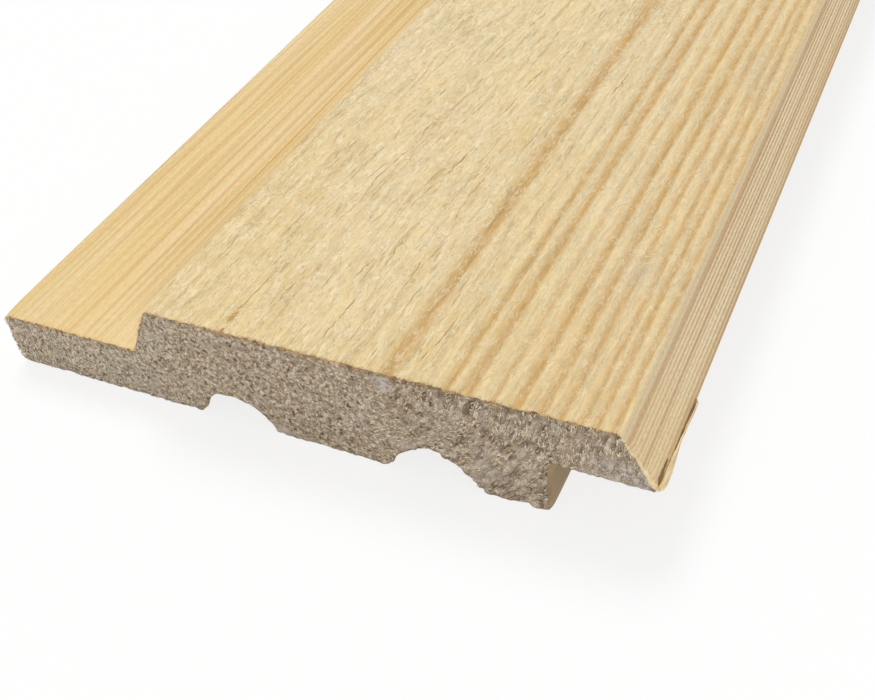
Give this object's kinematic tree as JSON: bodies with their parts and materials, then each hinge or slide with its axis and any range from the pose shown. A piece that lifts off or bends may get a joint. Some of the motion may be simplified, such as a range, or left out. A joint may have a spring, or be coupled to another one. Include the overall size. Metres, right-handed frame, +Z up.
{
  "type": "channel siding board",
  "caption": "Softwood cladding board with a fine-sawn face, a wide tongue below a sloped shoulder, a bevelled lip over a rabbet, and round relief grooves in the back.",
  "frame": {"origin": "middle of the board's footprint, on the plane of its back", "axes": "+X across the board from the tongue to the lip, +Y along the grain, +Z up out of the sawn face"},
  "size_m": [0.12, 1.8, 0.021],
  "materials": {
    "softwood": "unfinished pale softwood: fine-sawn face, planed edges and back, bare sawn ends"
  },
  "bodies": {
    "root": {"siding_board": "softwood"}
  },
  "joints": []
}
